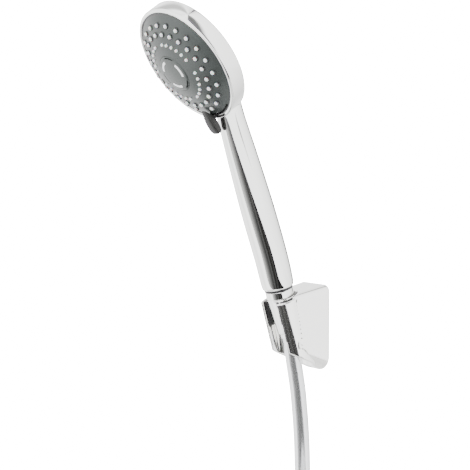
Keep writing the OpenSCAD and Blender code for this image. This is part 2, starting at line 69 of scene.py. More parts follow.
hose_path = [hose_exit] + hose_points + [(0, coil_front, -180)]
for step in range(36 * turns + 1):
    angle = math.radians(10 * step)
    hose_path.append((coil_radius - coil_radius * math.cos(angle), coil_front - coil_step * step / 36,
                      coil_height - coil_radius * math.sin(angle)))
coil_back = coil_front - coil_step * turns
hose_path += [(0, coil_back, z) for z in (-212, -224, -236, tail_end)]

hose_curve = bpy.data.curves.new("shower_hose", "CURVE")
hose_curve.dimensions = "3D"
hose_line = hose_curve.splines.new("BEZIER")
hose_line.bezier_points.add(len(hose_path) - 1)
for knot, place in zip(hose_line.bezier_points, hose_path):
    knot.co = Vector(place) * MM
    knot.handle_left_type = knot.handle_right_type = "AUTO"
hose_curve.resolution_u = 4
hose_curve.render_resolution_u = 4
hose_curve.bevel_depth = hose_radius * MM
hose_curve.bevel_resolution = 9
hose_curve.use_fill_caps = True
hose = bpy.data.objects.new("shower_hose", hose_curve)
bpy.context.scene.collection.objects.link(hose)


# Every finish starts as one shader whose colour and roughness drift a little over the
# piece, with a fine grain in its surface.
def finish_of(name, colour, roughness, metallic=0.0, drift=0.06, rough_drift=0.03,
              patch=60.0, grain=900.0, depth=0.00002, coordinates="Object", **sockets):
    made = bpy.data.materials.new(name)
    made.use_nodes = True
    nodes, links = made.node_tree.nodes, made.node_tree.links
    shader = nodes["Principled BSDF"]
    shader.inputs["Metallic"].default_value = metallic
    for socket, value in sockets.items():
        shader.inputs[socket.replace("_", " ").title().replace("Ior", "IOR")].default_value = value
    where = nodes.new("ShaderNodeTexCoord")
    cloud = nodes.new("ShaderNodeTexNoise")
    cloud.inputs["Scale"].default_value = patch
    cloud.inputs["Detail"].default_value = 4
    links.new(where.outputs[coordinates], cloud.inputs["Vector"])
    tint = nodes.new("ShaderNodeMix")
    tint.data_type = "RGBA"
    tint.inputs[6].default_value = [c * (1 - drift) for c in colour] + [1]
    tint.inputs[7].default_value = [min(1, c * (1 + drift)) for c in colour] + [1]
    links.new(cloud.outputs["Fac"], tint.inputs[0])
    links.new(tint.outputs[2], shader.inputs["Base Color"])
    wear = nodes.new("ShaderNodeMapRange")
    wear.inputs["From Min"].default_value = 0.3
    wear.inputs["From Max"].default_value = 0.7
    wear.inputs["To Min"].default_value = max(0.01, roughness - rough_drift)
    wear.inputs["To Max"].default_value = roughness + rough_drift
    links.new(cloud.outputs["Fac"], wear.inputs["Value"])
    links.new(wear.outputs["Result"], shader.inputs["Roughness"])
    speckle = nodes.new("ShaderNodeTexNoise")
    speckle.inputs["Scale"].default_value = grain
    speckle.inputs["Detail"].default_value = 3
    links.new(where.outputs[coordinates], speckle.inputs["Vector"])
    relief = nodes.new("ShaderNodeBump")
    relief.inputs["Distance"].default_value = depth
    links.new(speckle.outputs["Fac"], relief.inputs["Height"])
    links.new(relief.outputs["Normal"], shader.inputs["Normal"])
    return made


silver_foil = finish_of("silver_foil_under_pvc", (0.80, 0.81, 0.82), 0.17, metallic=0.85, patch=90.0,
                        grain=500.0, depth=0.00003, coat_weight=0.6, coat_roughness=0.08)
hose_curve.materials.append(silver_foil)
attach(hose, "hose")
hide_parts("hose_tube", "hose_coil")


# ---- Hose ends ----
# The upper ferrule is a chromed brass sleeve crimped on the hose and held in the cone nut.
# The lower one is the same with a flange, on which the hexagonal G1/2 supply nut turns.

def alone(piece):
    bpy.ops.object.select_all(action="DESELECT")
    piece.select_set(True)
    bpy.context.view_layer.objects.active = piece


# Turns an outline of (radius, height) pairs in millimetres round its own upright axis.
def turned(name, outline, sides=96, ring=False):
    bpy.ops.object.select_all(action="DESELECT")
    bpy.ops.mesh.primitive_circle_add(vertices=sides, radius=outline[0][0] * MM,
                                      location=(0, 0, outline[0][1] * MM))
    piece = bpy.context.object
    piece.name = name
    bpy.ops.object.mode_set(mode="EDIT")
    for (near, low), (far, high) in zip(outline, outline[1:]):
        bpy.ops.mesh.extrude_region_move(TRANSFORM_OT_translate={"value": (0, 0, (high - low) * MM)})
        bpy.ops.transform.resize(value=(far / near, far / near, 1), center_override=(0, 0, high * MM))
    bpy.ops.mesh.select_all(action="SELECT")
    if ring:
        bpy.ops.mesh.remove_doubles(threshold=0.000001)
    else:
        bpy.ops.mesh.fill_holes(sides=0)
    bpy.ops.mesh.normals_make_consistent(inside=False)
    bpy.ops.object.mode_set(mode="OBJECT")
    return piece


# Rounds a piece's sharp edges, smooths its shading and sets it in its place.
def dressed(piece, place, material, edge=0.0, angle=35.0, segments=3):
    alone(piece)
    piece.matrix_world = place @ piece.matrix_world
    bpy.ops.object.transform_apply(location=True, rotation=True, scale=True)
    if edge:
        rounding = piece.modifiers.new("rounding", "BEVEL")
        rounding.width = edge * MM
        rounding.segments = segments
        rounding.limit_method = "ANGLE"
        rounding.angle_limit = math.radians(angle)
        bpy.ops.object.modifier_apply(modifier="rounding")
    bpy.ops.object.shade_smooth_by_angle(angle=math.radians(angle))
    piece.data.materials.clear()
    piece.data.materials.append(material)
    return piece


# The handle's lower end, the cone nut and the sleeve share one axis, which leans off the wall.
axis_lean = 15.5
axis_place = Matrix.Translation((0, -0.0408, 0.0369)) @ Matrix.Rotation(math.radians(axis_lean), 4, "X")
supply_place = Matrix.Translation((0, coil_back * MM, tail_end * MM)) @ Matrix.Rotation(math.pi, 4, "X")

ferrule_chrome = finish_of("chromed_brass", (0.83, 0.83, 0.82), 0.07, metallic=1.0, drift=0.02,
                           rough_drift=0.02, patch=150.0, grain=1500.0, depth=0.000004)
upper_ferrule = turned("hose_ferrule_upper", [
    (5, -45), (7.7, -45), (8, -44.7), (8, -16.5), (9.6, -16.1), (9.6, -14), (5, -14), (5, -45)], ring=True)
dressed(upper_ferrule, axis_place, ferrule_chrome, edge=0.2)
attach(upper_ferrule, "hose")
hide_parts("upper_ferrule")

lower_ferrule = turned("hose_ferrule_lower", [
    (5, 0), (7.6, 0), (8, 0.4), (8, 5), (7.7, 5.4), (7.7, 6), (8, 6.4), (8, 25), (9.4, 25), (9.4, 27),
    (5, 27), (5, 0)], ring=True)
dressed(lower_ferrule, supply_place, ferrule_chrome, edge=0.2)
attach(lower_ferrule, "hose")
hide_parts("lower_ferrule")


# Takes the second piece out of the first, or joins it on, and leaves only the first.
def joined(piece, other, operation):
    alone(piece)
    meeting = piece.modifiers.new("meeting", "BOOLEAN")
    meeting.operation = operation
    meeting.object = other
    meeting.solver = "EXACT"
    bpy.ops.object.modifier_apply(modifier="meeting")
    bpy.data.objects.remove(other, do_unlink=True)
    return piece


def rod(radius, low, high, place=Matrix(), sides=64):
    bpy.ops.object.select_all(action="DESELECT")
    bpy.ops.mesh.primitive_cylinder_add(vertices=sides, radius=radius * MM, depth=(high - low) * MM,
                                        location=(0, 0, (low + high) / 2 * MM))
    made = bpy.context.object
    made.matrix_world = place @ made.matrix_world
    bpy.ops.object.transform_apply(location=True, rotation=True, scale=True)
    return made


supply_nut = rod(13.4, 18, 37, sides=6)
supply_nut.name = "supply_nut_hexagon"
joined(supply_nut, rod(11.2, 16.5, 18.6), "UNION")
joined(supply_nut, rod(8.3, 15, 28), "DIFFERENCE")
joined(supply_nut, rod(9.8, 24.8, 29.1), "DIFFERENCE")
joined(supply_nut, rod(9.5, 29, 39), "DIFFERENCE")
dressed(supply_nut, supply_place, ferrule_chrome, edge=0.35)
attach(supply_nut, "supply")
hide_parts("supply_nut")

# ---- Coil strap ----
# A flat band of soft black plastic holds the stored turns together. It is wrapped round
# their three tubes where they pass over the top of the coil.

tie_plastic = finish_of("strap_plastic", (0.03, 0.03, 0.03), 0.5, patch=200.0, grain=2500.0, depth=0.00004)
bpy.ops.object.select_all(action="DESELECT")
strap_middle = Vector((72, -38.7, -127))
strap_size = Vector((10, 46.9, 18.1))
bpy.ops.mesh.primitive_cube_add(size=1, location=strap_middle * MM, scale=strap_size * MM)
coil_strap = bpy.context.object
coil_strap.name = "coil_strap"
bpy.ops.object.transform_apply(location=True, rotation=True, scale=True)
bpy.ops.object.mode_set(mode="EDIT")
bpy.ops.mesh.select_mode(type="FACE")
bpy.ops.mesh.select_all(action="DESELECT")
bpy.ops.object.mode_set(mode="OBJECT")
for side in coil_strap.data.polygons:
    side.select = abs(side.normal.x) > 0.9
bpy.ops.object.mode_set(mode="EDIT")
bpy.ops.mesh.delete(type="FACE")
bpy.ops.mesh.select_mode(type="VERT")
bpy.ops.mesh.select_all(action="SELECT")
bpy.ops.mesh.bevel(offset=4 * MM, segments=6, affect="EDGES")
bpy.ops.mesh.normals_make_consistent(inside=False)
bpy.ops.object.mode_set(mode="OBJECT")
band = coil_strap.modifiers.new("band", "SOLIDIFY")
band.thickness = 1.3 * MM
alone(coil_strap)
bpy.ops.object.modifier_apply(modifier="band")
dressed(coil_strap, Matrix(), tie_plastic, edge=0.25)
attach(coil_strap, "hose")
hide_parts("coil_tie")

# ---- Wall holder ----
# The holder is one chrome-plated moulding: a block against the wall and a leaning sleeve
# with an open front, through which the hose passes when the handset is hung up.

holder_chrome = finish_of("satin_plated_holder", (0.93, 0.93, 0.91), 0.065, metallic=0.97, drift=0.015,
                          rough_drift=0.015, patch=45.0, grain=260.0, depth=0.000004)

bpy.ops.object.select_all(action="DESELECT")
bpy.ops.mesh.primitive_plane_add(size=1, rotation=(math.pi / 2, 0, 0), scale=(1, 1, 1))
holder = bpy.context.object
holder.name = "wall_holder"
block_width, block_height, block_depth = 42, 76, 32.5
front_width, front_height, front_rise, front_lean = 36, 56, 3, 7.5
sleeve_radius, rim_slope = 17.8, 38.5
holder.scale = (block_width * MM, block_height * MM, 1)
bpy.ops.object.transform_apply(location=True, rotation=True, scale=True)
bpy.ops.object.mode_set(mode="EDIT")
for high, corner in ((True, 7.0), (False, 14.0)):
    bpy.ops.mesh.select_all(action="DESELECT")
    bpy.ops.object.mode_set(mode="OBJECT")
    for point in holder.data.vertices:
        point.select = (point.co.z > 0) == high and abs(point.co.x) > (block_width / 2 - 0.1) * MM
    bpy.ops.object.mode_set(mode="EDIT")
    bpy.ops.mesh.bevel(offset=corner * MM, segments=12, affect="VERTICES")
bpy.ops.mesh.select_all(action="SELECT")
bpy.ops.mesh.extrude_region_move(TRANSFORM_OT_translate={"value": (0, -1.5 * MM, 0)})
bpy.ops.mesh.extrude_region_move(
    TRANSFORM_OT_translate={"value": (0, (1.5 - block_depth) * MM, front_rise * MM)})
bpy.ops.transform.resize(value=(front_width / block_width, 1, front_height / block_height),
                         center_override=(0, -block_depth * MM, front_rise * MM))
bpy.ops.transform.rotate(value=-math.radians(front_lean), orient_axis="X",
                         center_override=(0, -block_depth * MM, 0))
bpy.ops.mesh.extrude_region_move(TRANSFORM_OT_translate={"value": (0, -1 * MM, 0)})
bpy.ops.mesh.select_all(action="SELECT")
bpy.ops.mesh.normals_make_consistent(inside=False)
bpy.ops.object.mode_set(mode="OBJECT")

sleeve = rod(sleeve_radius, -83.8, -10.4, axis_place, sides=128)
alone(sleeve)
bpy.ops.object.mode_set(mode="EDIT")
bpy.ops.mesh.select_all(action="SELECT")
rim_turn = math.radians(axis_lean - rim_slope)
bpy.ops.mesh.bisect(plane_co=axis_place @ Vector((0, 0, -0.066)),
                    plane_no=(0, math.sin(rim_turn), -math.cos(rim_turn)), use_fill=True, clear_outer=True)
bpy.ops.object.mode_set(mode="OBJECT")
joined(holder, sleeve, "UNION")
joined(holder, rod(15.4, -33.6, 60, axis_place, sides=128), "DIFFERENCE")
joined(holder, rod(14.0, -96, -32, axis_place, sides=128), "DIFFERENCE")


# Cuts a block given by its lowest and highest corners, widened below to a second half width.
def block(low, high, place=Matrix(), lower_half=None):
    bpy.ops.object.select_all(action="DESELECT")
    middle = (Vector(low) + Vector(high)) / 2 * MM
    bpy.ops.mesh.primitive_cube_add(size=1, location=middle, scale=(Vector(high) - Vector(low)) * MM)
    made = bpy.context.object
    bpy.ops.object.transform_apply(location=True, rotation=True, scale=True)
    if lower_half:
        for point in made.data.vertices:
            if point.co.z < middle.z:
                point.co.x = math.copysign(lower_half * MM, point.co.x)
    made.matrix_world = place
    bpy.ops.object.transform_apply(location=True, rotation=True, scale=True)
    return made


joined(holder, block((-10.4, -30, -67), (10.4, 0, -9.4), axis_place, lower_half=12.6), "DIFFERENCE")
for height in (-20, 20):
    pocket_place = Matrix.Translation((0, 0, height * MM)) @ Matrix.Rotation(math.pi / 2, 4, "X")
    joined(holder, rod(5.5, -1, 7.8, pocket_place), "DIFFERENCE")
joined(holder, rod(9.2, -70, -10, Matrix.Translation((0, -22 * MM, 0))), "DIFFERENCE")
joined(holder, block((-9.2, -60, -70), (9.2, -22, -20)), "DIFFERENCE")
joined(holder, block((-14.15, -3.35, -27.15), (14.15, 1, 27.15)), "DIFFERENCE")
joined(holder, block((-6.15, -6.55, -27.15), (6.15, 1, -21.85)), "DIFFERENCE")
joined(holder, rod(1.56, -39, -20, Matrix.Translation((0, -4.2 * MM, 0)), sides=24), "DIFFERENCE")
alone(holder)
cast = holder.modifiers.new("cast", "REMESH")
cast.mode = "VOXEL"
cast.voxel_size = 0.62 * MM
bpy.ops.object.modifier_apply(modifier="cast")
polish = holder.modifiers.new("polish", "SMOOTH")
polish.factor = 0.5
polish.iterations = 16
bpy.ops.object.modifier_apply(modifier="polish")
# The outside of the sleeve is polished back to a true cylinder.
to_axis = axis_place.inverted()
trued = []
for point in holder.data.vertices:
    place, facing_out = to_axis @ point.co / MM, to_axis.to_3x3() @ point.normal
    reach = math.hypot(place.x, place.y)
    if abs(reach - sleeve_radius) < 0.5 and (place.x * facing_out.x + place.y * facing_out.y) / reach > 0.9:
        place.x, place.y = place.x * sleeve_radius / reach, place.y * sleeve_radius / reach
        trued.append((point.index, axis_place @ (place * MM)))
for index, place in trued:
    holder.data.vertices[index].co = place
dressed(holder, Matrix(), holder_chrome, angle=60)
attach(holder, "holder")
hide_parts("holder_body")

# ---- Liner ----
# A sleeve of black acetal sits in the upper half of the bore, open in front like it,
# and grips the cone nut without scratching it.

black_acetal = finish_of("black_acetal", (0.015, 0.015, 0.016), 0.34, patch=180.0, grain=2200.0,
                         depth=0.00002)


# Sweeps a section of four (radius, height) pairs round the upright axis over an angle.
def swept(name, section, middle, span, steps=32):
    bpy.ops.object.select_all(action="DESELECT")
    bpy.ops.mesh.primitive_plane_add(size=0.01)
    piece = bpy.context.object
    piece.name = name
    start = math.radians(middle + span / 2)
    for index, (radius, height) in zip((0, 1, 3, 2), section):
        at_start = Vector((radius * math.cos(start), radius * math.sin(start), height))
        piece.data.vertices[index].co = at_start * MM
    bpy.ops.object.mode_set(mode="EDIT")
    bpy.ops.mesh.select_all(action="SELECT")
    bpy.ops.mesh.spin(steps=steps, angle=math.radians(span), center=(0, 0, 0), axis=(0, 0, 1))
    bpy.ops.mesh.select_all(action="SELECT")
    bpy.ops.mesh.remove_doubles(threshold=0.000001)
    bpy.ops.mesh.fill_holes(sides=4)
    bpy.ops.mesh.normals_make_consistent(inside=False)
    bpy.ops.object.mode_set(mode="OBJECT")
    return piece


liner = swept("holder_liner", [(11.0, -33.45), (15.3, -33.45), (15.3, -11.6), (12.0, -11.6)],
              middle=90, span=262, steps=64)
dressed(liner, axis_place, black_acetal, edge=0.3)
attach(liner, "holder")
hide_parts("clip_liner")

# ---- Wall plate and grub screw ----
# A zinc plate is screwed to the wall. The holder hangs over it, and a grub screw
# from below bears on the plate's lip.


def refinish(node, material):
    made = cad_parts[node]
    made.data.materials.clear()
    made.data.materials.append(material)


refinish("wall_plate", finish_of("zinc_plate", (0.55, 0.56, 0.57), 0.38, metallic=1.0, patch=120.0,
                                 grain=800.0, depth=0.00004))
refinish("grub_screw", finish_of("blackened_steel", (0.06, 0.06, 0.065), 0.36, metallic=1.0, patch=300.0,
                                 grain=3000.0, depth=0.00001))

# ---- Cone nut ----
# A chromed nut screws on the handle's thread and holds the hose's ferrule. Its collar is
# straight and its long body tapers to fit the holder's liner.

bright_chrome = finish_of("bright_chrome", (0.875, 0.88, 0.86), 0.045, metallic=1.0, drift=0.012,
                          rough_drift=0.015, patch=35.0, grain=260.0, depth=0.000006)
cone_nut = turned("hose_cone_nut", [
    (10.4, -1.85), (11.7, -1.85), (12.1, -2.05), (12.2, -2.3), (12.2, -2.6), (12.2, -7.9), (12.2, -8.2),
    (12.0, -8.55), (11.6, -8.75), (11.5, -9.2), (11.6, -9.6), (11.85, -9.8), (11.9, -10.1), (11.85, -10.6),
    (9.3, -39.8), (9.25, -40.2), (9.1, -40.7), (8.7, -41), (8.06, -41), (8.06, -16.4),
    (10.4, -16.2), (10.4, -1.85)], sides=128, ring=True)
dressed(cone_nut, axis_place, bright_chrome, angle=50)
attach(cone_nut, "handset")
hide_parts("cone_nut")

# ---- Handset shell ----
# The handle and the head are one chromed ABS moulding. The handle swells in the middle,
# narrows to the neck, and flows into the back of the head, which has a straight side wall.

# The handle bends back a little above its end, and the head is set on it at its own tilt.
bend_height, bend_angle, head_tilt = 25, 4.0, 105.2
grip_place = (axis_place @ Matrix.Translation((0, 0, bend_height * MM))
              @ Matrix.Rotation(math.radians(bend_angle), 4, "X")
              @ Matrix.Translation((0, 0, -bend_height * MM)))
head_place = (grip_place @ Matrix.Translation((0, -0.028396, 0.209346))
              @ Matrix.Rotation(math.radians(head_tilt), 4, "X"))

# Heights and radii of the round rings below and above the bend, and then the neck's rings,
# each given by its back point, its front point in the plane x = 0, and its half width.
end_rings = [(0.02, 10.6), (0.02, 12.3), (0.05, 12.9), (0.35, 13.45), (1.1, 13.85), (2.6, 14.15), (5.5, 14.4),
             (11, 14.6), (19, 14.7)]
grip_rings = [(33, 14.8), (45, 14.9), (58, 14.9), (70, 14.8), (84, 14.5), (97, 14.1), (110, 13.7), (122, 13.2),
              (134, 12.7), (146, 12.1)]
bend = math.sin(math.radians(bend_angle))
handle_rings = [((r + (s - bend_height) * bend, s), (-r + (s - bend_height) * bend, s), r, -bend_angle)
                for s, r in end_rings]
handle_rings += [((r, s), (-r, s), r, 0.0) for s, r in grip_rings]
handle_rings += [
    ((11.8, 157), (-11.7, 156.5), 11.7, None), ((12.1, 168), (-10.6, 162), 11.8, None),
    ((12.4, 177), (-8.6, 165.0), 12.5, None), ((11.2, 185), (-6.5, 167.5), 13.6, None),
    ((8.2, 192.5), (-4.5, 169.0), 15.0, None), ((3.4, 199.5), (-2.8, 170.3), 16.8, None),
    ((-3.5, 205.8), (-1.6, 171.4), 18.6, None), ((-8.3, 212.0), (-0.8, 172.3), 21.2, None),
    ((-12.3, 220.0), (-0.4, 173.0), 24.5, None), ((-16.0, 231.3), (-0.2, 173.5), 28.0, None)]

bpy.ops.object.select_all(action="DESELECT")
bpy.ops.mesh.primitive_circle_add(vertices=32, radius=MM)
shell = bpy.context.object
shell.name = "handset_shell"
bpy.ops.object.mode_set(mode="EDIT")
at, tilt, wide, deep = Vector((0, 0, 0)), 0.0, 1.0, 1.0
for number, (behind, ahead, half_width, slope) in enumerate(handle_rings):
    centre = Vector((0, (behind[0] + ahead[0]) / 2, (behind[1] + ahead[1]) / 2))
    half_depth = math.hypot(behind[0] - ahead[0], behind[1] - ahead[1]) / 2
    new_tilt = math.atan2(behind[1] - ahead[1], behind[0] - ahead[0])
    if slope is not None:
        new_tilt = math.radians(slope)
    if number:
        bpy.ops.mesh.extrude_region_move(TRANSFORM_OT_translate={"value": (0, 0, 0)})
    bpy.ops.transform.rotate(value=tilt, orient_axis="X", center_override=at * MM)
    bpy.ops.transform.resize(value=(half_width / wide, half_depth / deep, 1), center_override=at * MM)
    bpy.ops.transform.rotate(value=-new_tilt, orient_axis="X", center_override=at * MM)
    bpy.ops.transform.translate(value=(centre - at) * MM)
    at, tilt, wide, deep = centre, new_tilt, half_width, half_depth
bpy.ops.mesh.select_all(action="SELECT")
bpy.ops.mesh.fill_holes(sides=0)
bpy.ops.mesh.normals_make_consistent(inside=False)
bpy.ops.object.mode_set(mode="OBJECT")
alone(shell)
flow = shell.modifiers.new("flow", "SUBSURF")
flow.levels = flow.render_levels = 2
bpy.ops.object.modifier_apply(modifier="flow")
dressed(shell, grip_place, bright_chrome, angle=50)

head_radius = 53
head_back = turned("head_back", [
    (0.5, -18.3), (14, -18.28), (26, -18.1), (36, -17.7), (43, -17.0), (48, -16.1), (50.6, -15.3),
    (51.9, -14.6), (52.7, -13.8), (head_radius, -12.8), (head_radius, -1.5), (50.2, -1.5), (50.2, -12.9),
    (0.5, -13.0)], sides=160)
dressed(head_back, head_place, bright_chrome, angle=50)
alone(shell)
head_back.select_set(True)
bpy.ops.object.join()
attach(shell, "handset")
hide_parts("handle_shell")

# ---- Handle's end ring ----
# A black ring fills the gap between the handle's lower end and the cone nut. It is painted shade:
# it stands for the shadow in the joint and shows as a thin dark line round it.

end_shade_ring = turned("handle_end_shade_ring", [
    (10.5, -1.8), (12.4, -1.8), (12.6, -1.5), (12.6, -0.3), (12.4, -0.02), (10.5, -0.02), (10.5, -1.8)],
    sides=96, ring=True)
dressed(end_shade_ring, axis_place, black_acetal, angle=50)
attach(end_shade_ring, "handset")

# ---- Bezel ----
# A chromed ring snaps over the head's rim and holds the face plate. Its rounded front
# stands a little above the plate's edge.

bezel = turned("face_bezel_ring", [
    (49.7, -1.45), (head_radius, -1.45), (head_radius, -0.5), (52.85, 0.05), (52.4, 0.55), (51.8, 0.82),
    (51.2, 0.9), (50.5, 0.85), (49.9, 0.6), (49.7, 0.2), (49.7, -1.45)], sides=160, ring=True)
dressed(bezel, head_place, bright_chrome, angle=50)
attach(bezel, "handset")
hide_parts("face_bezel")

# ---- Seam shade ring ----
# A thin black ring fills the seam between the bezel and the face plate. It is painted shade:
# it stands for the shadow in the seam and draws a dark line round the face.

face_seam_shade_ring = turned("face_seam_shade_ring", [
    (48.9, -1.2), (49.68, -1.2), (49.68, 0.22), (49.5, 0.34), (49.1, 0.34), (48.9, 0.2), (48.9, -1.2)],
    sides=160, ring=True)
dressed(face_seam_shade_ring, head_place, black_acetal, angle=50)
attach(face_seam_shade_ring, "handset")

# ---- Face plate ----
# The spray face is a shallow dome of grey satin-plated ABS. A crescent below is left out
# of its edge, where the mode lever's stem runs.

face_radius, dome_height = 49.4, 14.5
dome_ball = (face_radius ** 2 + dome_height ** 2) / (2 * dome_height)


# Height of the face's dome at a radius.
def dome(radius):
    return dome_height - dome_ball + math.sqrt(dome_ball ** 2 - radius ** 2)


face_satin = finish_of("grey_satin_face", (0.046, 0.053, 0.051), 0.30, metallic=0.35, drift=0.03, patch=40.0,
                       grain=1400.0, depth=0.00001)
hole_radius, dome_steps = 16.6, 14
over = [(hole_radius + (face_radius - hole_radius) * step / dome_steps,
         dome(hole_radius + (face_radius - hole_radius) * step / dome_steps)) for step in range(dome_steps + 1)]
face_plate = turned("spray_face", over + [(face_radius, -1.4), (47.6, -1.4)]
                    + [(r - 0.4, z - 2.4) for r, z in reversed(over[:-1])] + [over[0]], sides=160, ring=True)
crescent = swept("crescent", [(47.5, -6), (51, -6), (51, 12), (47.5, 12)], -90, 74)
joined(face_plate, crescent, "DIFFERENCE")
dressed(face_plate, head_place, face_satin, angle=40)
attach(face_plate, "handset")
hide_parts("face_plate")

# ---- Lever slot's floor ----
# A black strip closes the bottom of the crescent, behind the lever's stem, so that the
# inside of the head is not seen. Its black is painted shade, standing for the shadow deep in the slot.

slot_shade_floor = swept("lever_slot_shade_floor", [(47.4, -3.2), (49.65, -3.2), (49.65, -2.0), (47.4, -2.0)],
                       middle=-90, span=76)
dressed(slot_shade_floor, head_place, black_acetal, edge=0.15)
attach(slot_shade_floor, "handset")

# ---- Nozzles ----
# Two silicone mats lie behind the face, and their soft nozzles stand through its holes:
# two rings of large ones on the outer mat and four arcs of small ones on the inner mat.
# Dark rings round the large ones' bases are painted shade and reflection of their shaded sides.

silicone = finish_of("white_silicone", (0.82, 0.83, 0.83), 0.42, patch=300.0, grain=2500.0, depth=0.00002,
                     subsurface_weight=0.25, subsurface_scale=0.001)


# A copy of one turned pattern at each (radius, angle) on the dome, all joined to one piece.
def set_on_dome(name, outline, places, sides, ring=False):
    pattern = turned(name, outline, sides=sides, ring=ring)
    alone(pattern)
    bpy.ops.object.transform_apply(location=True, rotation=True, scale=True)
    copies = []
    for distance_out, angle in places:
        copy = pattern.copy()
        copy.data = pattern.data.copy()
        bpy.context.scene.collection.objects.link(copy)
        copy.matrix_world = (Matrix.Rotation(math.radians(angle), 4, "Z")
                             @ Matrix.Translation((distance_out * MM, 0, dome(distance_out) * MM))
                             @ Matrix.Rotation(math.asin(distance_out / dome_ball) / 2, 4, "Y"))
        copies.append(copy)
    bpy.data.objects.remove(pattern, do_unlink=True)
    alone(copies[0])
    for copy in copies:
        copy.select_set(True)
    bpy.ops.object.join()
    bpy.ops.object.transform_apply(location=True, rotation=True, scale=True)
    joined_set = bpy.context.object
    joined_set.name = name
    return joined_set


ring_count, arc_count = 22, 6
ring_pitch, arc_pitch = 360 / ring_count, 12.5
large_places = [(40.8, -90 + i * ring_pitch) for i in range(1, ring_count)]
large_places += [(34.0, -90 + (i + 0.5) * ring_pitch) for i in range(ring_count)]
small_places = [(26.0, middle + (i - (arc_count - 1) / 2) * arc_pitch)
                for middle in (55, 145, 235, 325) for i in range(arc_count)]
large_nozzles = set_on_dome("large_nozzles", [
    (1.9, -0.9), (1.85, 0.6), (1.6, 1.2), (1.4, 1.58), (1.15, 1.76), (0.85, 1.8), (0.6, 1.76), (0.5, 1.55),
    (0.42, 0.8)], large_places, 20)
dressed(large_nozzles, head_place, silicone, angle=45)
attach(large_nozzles, "handset")
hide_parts("outer_nozzle_mat")
small_nozzles = set_on_dome("small_nozzles", [
    (1.35, -0.9), (1.3, 0.4), (1.2, 0.9), (1.1, 1.2), (0.85, 1.4), (0.6, 1.44), (0.42, 1.4), (0.35, 1.2),
    (0.3, 0.6)], small_places, 16)
dressed(small_nozzles, head_place, silicone, angle=45)
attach(small_nozzles, "handset")
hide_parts("inner_nozzle_mat")

# Painted shade and reflection: the dark rings stand for the large nozzles' shaded sides.
nozzle_shade_satin = finish_of("dark_nozzle_shade_rings", (0.03, 0.034, 0.034), 0.22, metallic=0.4, drift=0.02,
                         patch=60.0, grain=1400.0, depth=0.00001)
shade_rings = set_on_dome("nozzle_shade_rings", [
    (2.0, -0.3), (2.7, -0.3), (2.45, 0.6), (2.2, 0.95), (2.0, 0.9), (2.0, -0.3)], large_places, 20, ring=True)
dressed(shade_rings, head_place, nozzle_shade_satin, angle=45)
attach(shade_rings, "handset")

# ---- Centre insert ----
# A low satin disc closes the middle of the face, with three curved bars of clear white
# plastic, a bright rim, and three dark slots for the massage jets.

insert_satin = finish_of("satin_insert", (0.052, 0.060, 0.057), 0.30, metallic=0.35, drift=0.03, patch=60.0,
                         grain=1400.0, depth=0.00001)
insert_radius = 16.4
bar_middles = (15, 135, 255)
insert = turned("centre_insert_disc", [
    (0.4, dome(0.4) + 0.5), (5, dome(5) + 0.5), (10, dome(10) + 0.5), (14, dome(14) + 0.5),
    (15.6, dome(15.6) + 0.45), (16.2, dome(16.2) + 0.2), (insert_radius, dome(insert_radius) - 0.2),
    (insert_radius, dome(insert_radius) - 3.0), (0.4, dome(insert_radius) - 3.0)], sides=96)
for middle in bar_middles:
    joined(insert, swept("bar_cut", [(10.6, 12), (13, 12), (13, 17), (10.6, 17)], middle, 58), "DIFFERENCE")
    joined(insert, swept("slot_cut", [(14.4, 11), (15.5, 11), (15.5, 17), (14.4, 17)], middle + 60, 38),
           "DIFFERENCE")
dressed(insert, head_place, insert_satin, angle=40)
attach(insert, "handset")
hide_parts("centre_insert")

clear_white = finish_of("clear_white_bars", (0.88, 0.89, 0.90), 0.12, drift=0.02, patch=200.0, grain=900.0,
                        depth=0.00001, coat_weight=0.5)
bars = None
for middle in bar_middles:
    bar = swept("jet_bars", [(10.65, dome(insert_radius) - 1), (12.95, dome(insert_radius) - 1),
                             (12.95, dome(12.95) + 0.68), (10.65, dome(10.65) + 0.68)], middle, 57)
    if bars is None:
        bars = bar
    else:
        alone(bars)
        bar.select_set(True)
        bpy.ops.object.join()
dressed(bars, head_place, clear_white, edge=0.3)
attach(bars, "handset")
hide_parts("light_bars")

# ---- Mode lever ----
# A dark satin tongue lies over the face's lower edge on a stem from the selector disc.
# It swings round the head's axis to one of three sprays.

lever_satin = finish_of("dark_satin_lever", (0.014, 0.014, 0.0135), 0.46, drift=0.05, patch=80.0,
                        grain=1600.0, depth=0.00001, specular_ior_level=0.35)
# Its sections from root to tip: distance out, half width, underside and top.
lever_sections = [(39.6, 1.8, 5.2, 7.2), (40.4, 2.7, 4.6, 7.5), (42.5, 3.7, 3.4, 8.0), (46, 4.7, 2.4, 8.7),
                  (50, 5.4, 2.0, 9.2), (54, 5.9, 2.0, 9.4), (58, 6.0, 2.0, 9.3), (61, 5.6, 2.2, 8.9),
                  (63, 4.7, 2.9, 8.3), (64.1, 3.0, 4.0, 7.3)]
corners = 24
bpy.ops.object.select_all(action="DESELECT")
bpy.ops.mesh.primitive_circle_add(vertices=corners, radius=MM)
lever = bpy.context.object
lever.name = "spray_mode_lever"
bpy.ops.object.mode_set(mode="EDIT")
for section in lever_sections[1:]:
    bpy.ops.mesh.extrude_region_move(TRANSFORM_OT_translate={"value": (0, 0, MM)})
bpy.ops.object.mode_set(mode="OBJECT")
for point in lever.data.vertices:
    out, half, under, top = lever_sections[point.index // corners]
    turn_to = math.tau * (point.index % corners) / corners
    side, rise = (math.copysign(abs(part) ** 0.62, part) for part in (math.cos(turn_to), math.sin(turn_to)))
    point.co = Vector((side * half, -out, (under + top) / 2 + rise * (top - under) / 2)) * MM
bpy.ops.object.mode_set(mode="EDIT")
bpy.ops.mesh.select_all(action="SELECT")
bpy.ops.mesh.fill_holes(sides=0)
